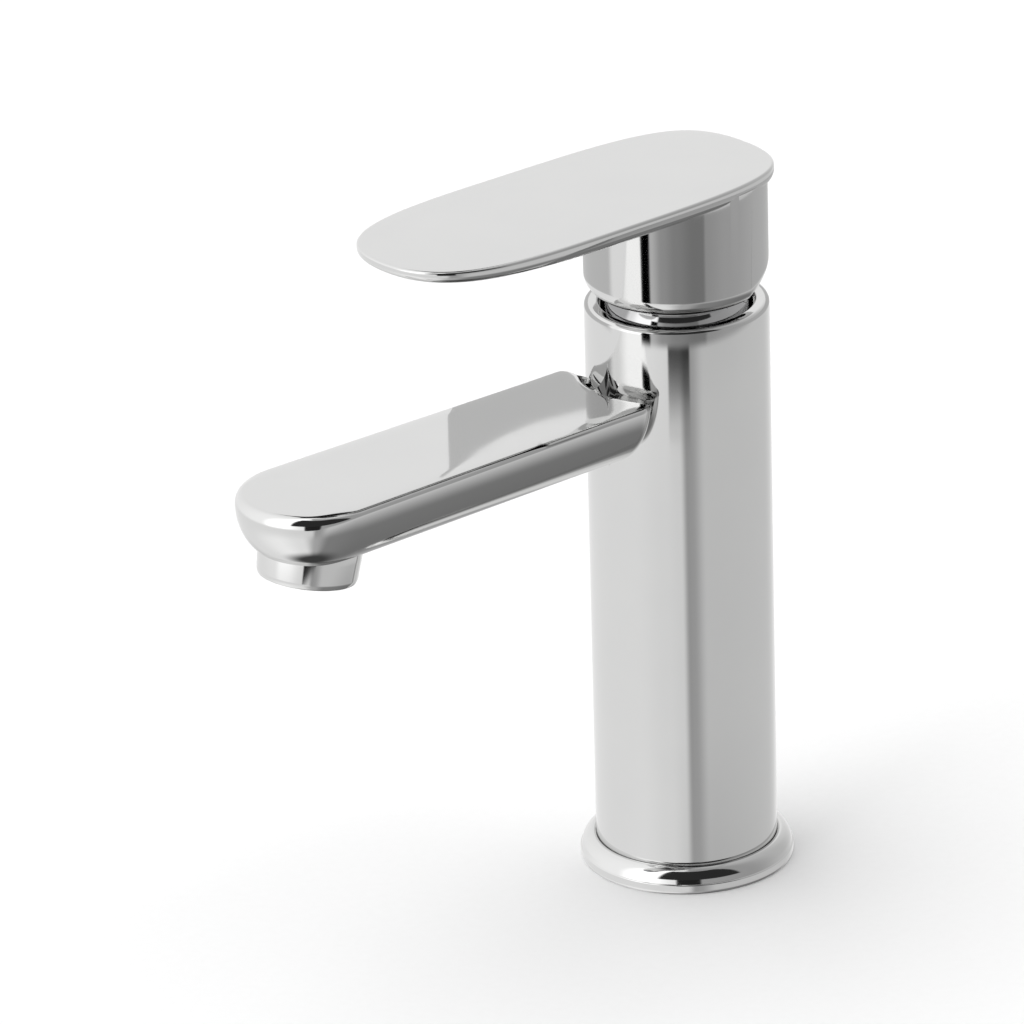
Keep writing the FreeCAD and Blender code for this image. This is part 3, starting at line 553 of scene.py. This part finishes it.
def plain_material(name, pale, dark, size_mm, roughness, metallic=0, relief=0.2):
    """A surface with its own grain: two near colours in a noise of a real size, in gloss and relief too."""
    material, tree, place = new_material(name)
    grain = add(tree, "ShaderNodeTexNoise", {"Vector": place, "Scale": 1 / (size_mm * MM), "Detail": 5})
    tint = add(tree, "ShaderNodeMix", {"Factor": grain.outputs["Fac"], "A": linear(pale), "B": linear(dark)},
               data_type="RGBA")
    gloss = add(tree, "ShaderNodeMapRange", {
        "Value": grain.outputs["Fac"], "To Min": roughness * 0.8, "To Max": roughness * 1.2})
    bump = add(tree, "ShaderNodeBump", {
        "Height": grain.outputs["Fac"], "Strength": relief, "Distance": size_mm * MM / 20})
    end_material(tree, {
        "Base Color": tint.outputs["Result"], "Metallic": metallic, "Roughness": gloss.outputs["Result"],
        "Normal": bump.outputs["Normal"]})
    return material


brass = plain_material("turned_brass", "#D8B56A", "#C39C50", 0.4, 0.28, metallic=1)
steel = plain_material("stainless_steel", "#C9C8C5", "#B4B3B0", 0.3, 0.25, metallic=1)
white_acetal = plain_material("white_acetal_moulding", "#EDEDE8", "#DFDFD9", 0.8, 0.4)
grey_acetal = plain_material("grey_acetal_moulding", "#8E9299", "#7C8087", 0.8, 0.42)
alumina = plain_material("lapped_alumina", "#F1EEE6", "#E6E2D8", 0.2, 0.15)
rubber = plain_material("nitrile_rubber", "#1B1B1C", "#111112", 0.25, 0.7)

inner_finish = {
    "base_gasket": rubber, "valve_block": brass, "cartridge_housing": white_acetal, "cartridge_seal": rubber,
    "cartridge_base": grey_acetal, "inlet_seals": rubber, "fixed_ceramic_disc": alumina,
    "moving_ceramic_disc": alumina, "disc_carriage": grey_acetal, "stem_rotor": grey_acetal,
    "rotor_seal": rubber, "stem_pin": steel, "temperature_limit_ring": grey_acetal, "lever_stem": steel,
    "cartridge_nut": brass, "lever_grub_screw": steel, "screw_plug": chrome, "aerator_gasket": rubber,
    "outlet_grille": grey_acetal, "stream_straightener": white_acetal, "flow_regulator": white_acetal,
    "inlet_strainer": white_acetal,
}
for node, finish in inner_finish.items():
    paint(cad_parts[node], finish)

# ---------------------------------------------------------------- deck, light and camera
# The mixer stands on a plain pale deck under a soft overhead light, seen from the front right and above.
# The tent round it isn't plain: it is graded by direction and holds dark cards, for the chrome to mirror.
# The deck and the overhead light stay out of the chrome's reflections.

bpy.ops.object.select_all(action="DESELECT")
bpy.ops.mesh.primitive_plane_add(size=6)
deck = bpy.context.object
deck.name = "deck"
deck_paint, tree, place = new_material("pale_matt_deck")
speck = add(tree, "ShaderNodeTexNoise", {"Vector": place, "Scale": 400, "Detail": 3})
tone = add(tree, "ShaderNodeMix", {
    "Factor": speck.outputs["Fac"], "A": linear("#FBFBFB"), "B": linear("#F7F7F7")}, data_type="RGBA")
end_material(tree, {"Base Color": tone.outputs["Result"], "Roughness": 0.9})
paint(deck, deck_paint)
deck.visible_glossy = False

VIEW_TURN = math.radians(49)
tent = bpy.data.worlds.new("light_tent")
bpy.context.scene.world = tent
tent.use_nodes = True
tree = tent.node_tree
tree.nodes.clear()
look = add(tree, "ShaderNodeTexCoord").outputs["Generated"]
# Turned so that its X axis points from the mixer to the camera's side and Y to the right of that.
turned_look = add(tree, "ShaderNodeMapping", {"Vector": look, "Rotation": (0, 0, math.pi / 2 - VIEW_TURN)})
parts = add(tree, "ShaderNodeSeparateXYZ", {"Vector": turned_look.outputs["Vector"]})
around = add(tree, "ShaderNodeMath", {0: parts.outputs["Y"], 1: parts.outputs["X"]}, operation="ARCTAN2")
height = add(tree, "ShaderNodeMath", {0: parts.outputs["Z"]}, operation="ARCSINE")
DEGREE = math.pi / 180


def band(value, stops):
    """Brightness along an angle, from (degrees, brightness) stops."""
    low, high = stops[0][0], stops[-1][0]
    spread = add(tree, "ShaderNodeMapRange", {
        "Value": value, "From Min": low * DEGREE, "From Max": high * DEGREE, "To Min": 0, "To Max": 1})
    ramp = add(tree, "ShaderNodeValToRGB", {"Fac": spread.outputs["Result"]})
    ramp.color_ramp.interpolation = "EASE"
    marks = ramp.color_ramp.elements
    while len(marks) < len(stops):
        marks.new(0.5)
    for mark, (angle, bright) in zip(marks, stops):
        mark.position = (angle - low) / (high - low)
    for mark, (angle, bright) in zip(marks, stops):
        mark.color = (bright, bright, bright, 1)
    return ramp.outputs["Color"]


low_around = band(around.outputs["Value"], (
    (-180, 0.95), (-60, 0.95), (-20, 0.89), (0, 0.85), (9, 0.40),
    (14, 0.42), (32, 0.68), (130, 0.7), (180, 0.95)))
deep_around = band(around.outputs["Value"], (
    (-180, 0.5), (-130, 0.95), (-60, 1.15), (-20, 1.0),
    (10, 0.5), (40, 0.27), (130, 0.21), (180, 0.5)))
high_around = band(around.outputs["Value"], (
    (-180, 1.0), (-80, 1.2), (-62, 1.7), (-44, 1.7), (-12, 1.1),
    (8, 0.42), (70, 0.4), (120, 0.6), (180, 1.0)))


def between(value, low, high, soft):
    """1 between two limits and 0 outside them, with soft ends."""
    rise = add(tree, "ShaderNodeMapRange", {
        "Value": value, "From Min": low - soft, "From Max": low + soft}, interpolation_type="SMOOTHSTEP")
    fall = add(tree, "ShaderNodeMapRange", {
        "Value": value, "From Min": high - soft, "From Max": high + soft, "To Min": 1, "To Max": 0},
        interpolation_type="SMOOTHSTEP")
    return add(tree, "ShaderNodeMath", {0: rise.outputs["Result"], 1: fall.outputs["Result"]},
               operation="MULTIPLY").outputs["Value"]


def card(colour, across, up, soft, brightness):
    """A card of the tent, between two azimuths and two heights in degrees, over what is there already."""
    sides = between(around.outputs["Value"], across[0] * DEGREE, across[1] * DEGREE, soft * DEGREE)
    ends = between(height.outputs["Value"], up[0] * DEGREE, up[1] * DEGREE, soft * DEGREE)
    share = add(tree, "ShaderNodeMath", {0: sides, 1: ends}, operation="MULTIPLY")
    bright = (brightness, brightness, brightness, 1)
    return add(tree, "ShaderNodeMix", {"Factor": share.outputs["Value"], "A": colour, "B": bright},
               data_type="RGBA").outputs["Result"]


def step_up(low, high, below, above):
    """Goes from one brightness to another as the height above the horizon passes from low to high."""
    rise = add(tree, "ShaderNodeMapRange", {
        "Value": height.outputs["Value"], "From Min": low * DEGREE, "From Max": high * DEGREE},
        interpolation_type="SMOOTHSTEP")
    return add(tree, "ShaderNodeMix", {"Factor": rise.outputs["Result"], "A": below, "B": above},
               data_type="RGBA").outputs["Result"]


under = (0.06, 0.06, 0.06, 1)
tent_light = step_up(-80, -62, under, deep_around)
tent_light = step_up(-42, -25, tent_light, low_around)
tent_light = step_up(-20, -5, tent_light, high_around)
tent_light = card(tent_light, (-12, 14), (-18, 20), 1.5, 0.02)
tent_light = card(tent_light, (-32, 58), (12, 70), 2, 0.03)
# The gap between the back and the roof of the tent.
gap_side = between(parts.outputs["Y"], -0.125, 0.11, 0.008)
gap_rise = between(parts.outputs["Z"], 0.6, 0.95, 0.015)
gap_back = between(parts.outputs["X"], -1.1, -0.05, 0.02)
gap = add(tree, "ShaderNodeMath", {0: gap_side, 1: gap_rise}, operation="MULTIPLY")
gap = add(tree, "ShaderNodeMath", {0: gap.outputs["Value"], 1: gap_back}, operation="MULTIPLY")
tent_light = add(tree, "ShaderNodeMix", {
    "Factor": gap.outputs["Value"], "A": tent_light, "B": (0.01, 0.01, 0.01, 1)}, data_type="RGBA")
glow = add(tree, "ShaderNodeBackground", {"Color": tent_light.outputs["Result"], "Strength": 1.0})
add(tree, "ShaderNodeOutputWorld", {"Surface": glow.outputs["Background"]})

# A bent reflector close round the lever's cap, such as no real studio could hold: the camera doesn't see
# it and it casts no shadow. It is open where the spout passes, with a black slit beside the opening and
# grey shades to the right. The cap mirrors it, and so do the blend and the spout's top near the column.
bpy.ops.object.select_all(action="DESELECT")
bpy.ops.mesh.primitive_cylinder_add(radius=60 * MM, depth=34 * MM, vertices=128, end_fill_type="NOTHING")
reflector = bpy.context.object
reflector.name = "bent_reflector"
bpy.ops.object.mode_set(mode="EDIT")
bpy.ops.mesh.select_all(action="SELECT")
bpy.ops.transform.translate(value=(0, 0, 158 * MM))
bpy.ops.object.mode_set(mode="OBJECT")
bpy.ops.object.shade_smooth()
reflector_paint, tree, place = new_material("reflector_card")
turned_place = add(tree, "ShaderNodeMapping", {"Vector": place, "Rotation": (0, 0, math.pi / 2 - VIEW_TURN)})
parts = add(tree, "ShaderNodeSeparateXYZ", {"Vector": turned_place.outputs["Vector"]})
around = add(tree, "ShaderNodeMath", {0: parts.outputs["Y"], 1: parts.outputs["X"]}, operation="ARCTAN2")
cap_left = band(around.outputs["Value"], (
    (-180, 0.62), (-60, 0.62), (-45, 0), (-27.5, 0), (-25.5, 0.58), (-14, 0.36), (0, 0.28)))
cap_right = band(around.outputs["Value"], (
    (0, 0.28), (18, 0.22), (27, 0.22), (31, 0.36), (54, 0.42), (105, 0.52), (180, 0.62)))
side = add(tree, "ShaderNodeMath", {0: around.outputs["Value"], 1: 0.0}, operation="GREATER_THAN")
shine = add(tree, "ShaderNodeMix", {"Factor": side.outputs["Value"], "A": cap_left, "B": cap_right},
            data_type="RGBA")
glow = add(tree, "ShaderNodeEmission", {"Color": shine.outputs["Result"], "Strength": 1.0})
fade = add(tree, "ShaderNodeMapRange", {
    "Value": parts.outputs["Z"], "From Min": 141 * MM, "From Max": 144 * MM},
    interpolation_type="SMOOTHSTEP")
opening = band(around.outputs["Value"], ((-180, 1), (-78, 1), (-70, 0), (-36, 0), (-35, 1), (180, 1)))
held = add(tree, "ShaderNodeMath", {0: fade.outputs["Result"], 1: opening}, operation="MULTIPLY")
clear = add(tree, "ShaderNodeBsdfTransparent")
card_skin = add(tree, "ShaderNodeMixShader", {
    0: held.outputs["Value"], 1: clear.outputs["BSDF"], 2: glow.outputs["Emission"]})
add(tree, "ShaderNodeOutputMaterial", {"Surface": card_skin.outputs["Shader"]})
paint(reflector, reflector_paint)
reflector.visible_camera = reflector.visible_diffuse = reflector.visible_shadow = False

bpy.ops.object.light_add(type="AREA", location=(0, 0, 4))
overhead = bpy.context.object
overhead.data.size = 5
overhead.data.energy = 95
overhead.visible_glossy = False

bpy.context.scene.view_settings.view_transform = "Standard"

CAMERA_PLACE = (1.5681, -1.3631, 0.9823)
yaw, pitch, roll = VIEW_TURN + math.radians(1.214), math.radians(23.047), math.radians(-1.578)
bpy.ops.object.camera_add(location=CAMERA_PLACE)
camera = bpy.context.object
camera.rotation_euler = (Matrix.Rotation(yaw, 3, "Z") @ Matrix.Rotation(math.pi / 2 - pitch, 3, "X")
                         @ Matrix.Rotation(roll, 3, "Z")).to_euler()
camera.data.lens = 304.2
camera.data.sensor_width = 36
camera.data.clip_end = 20
bpy.context.scene.camera = camera
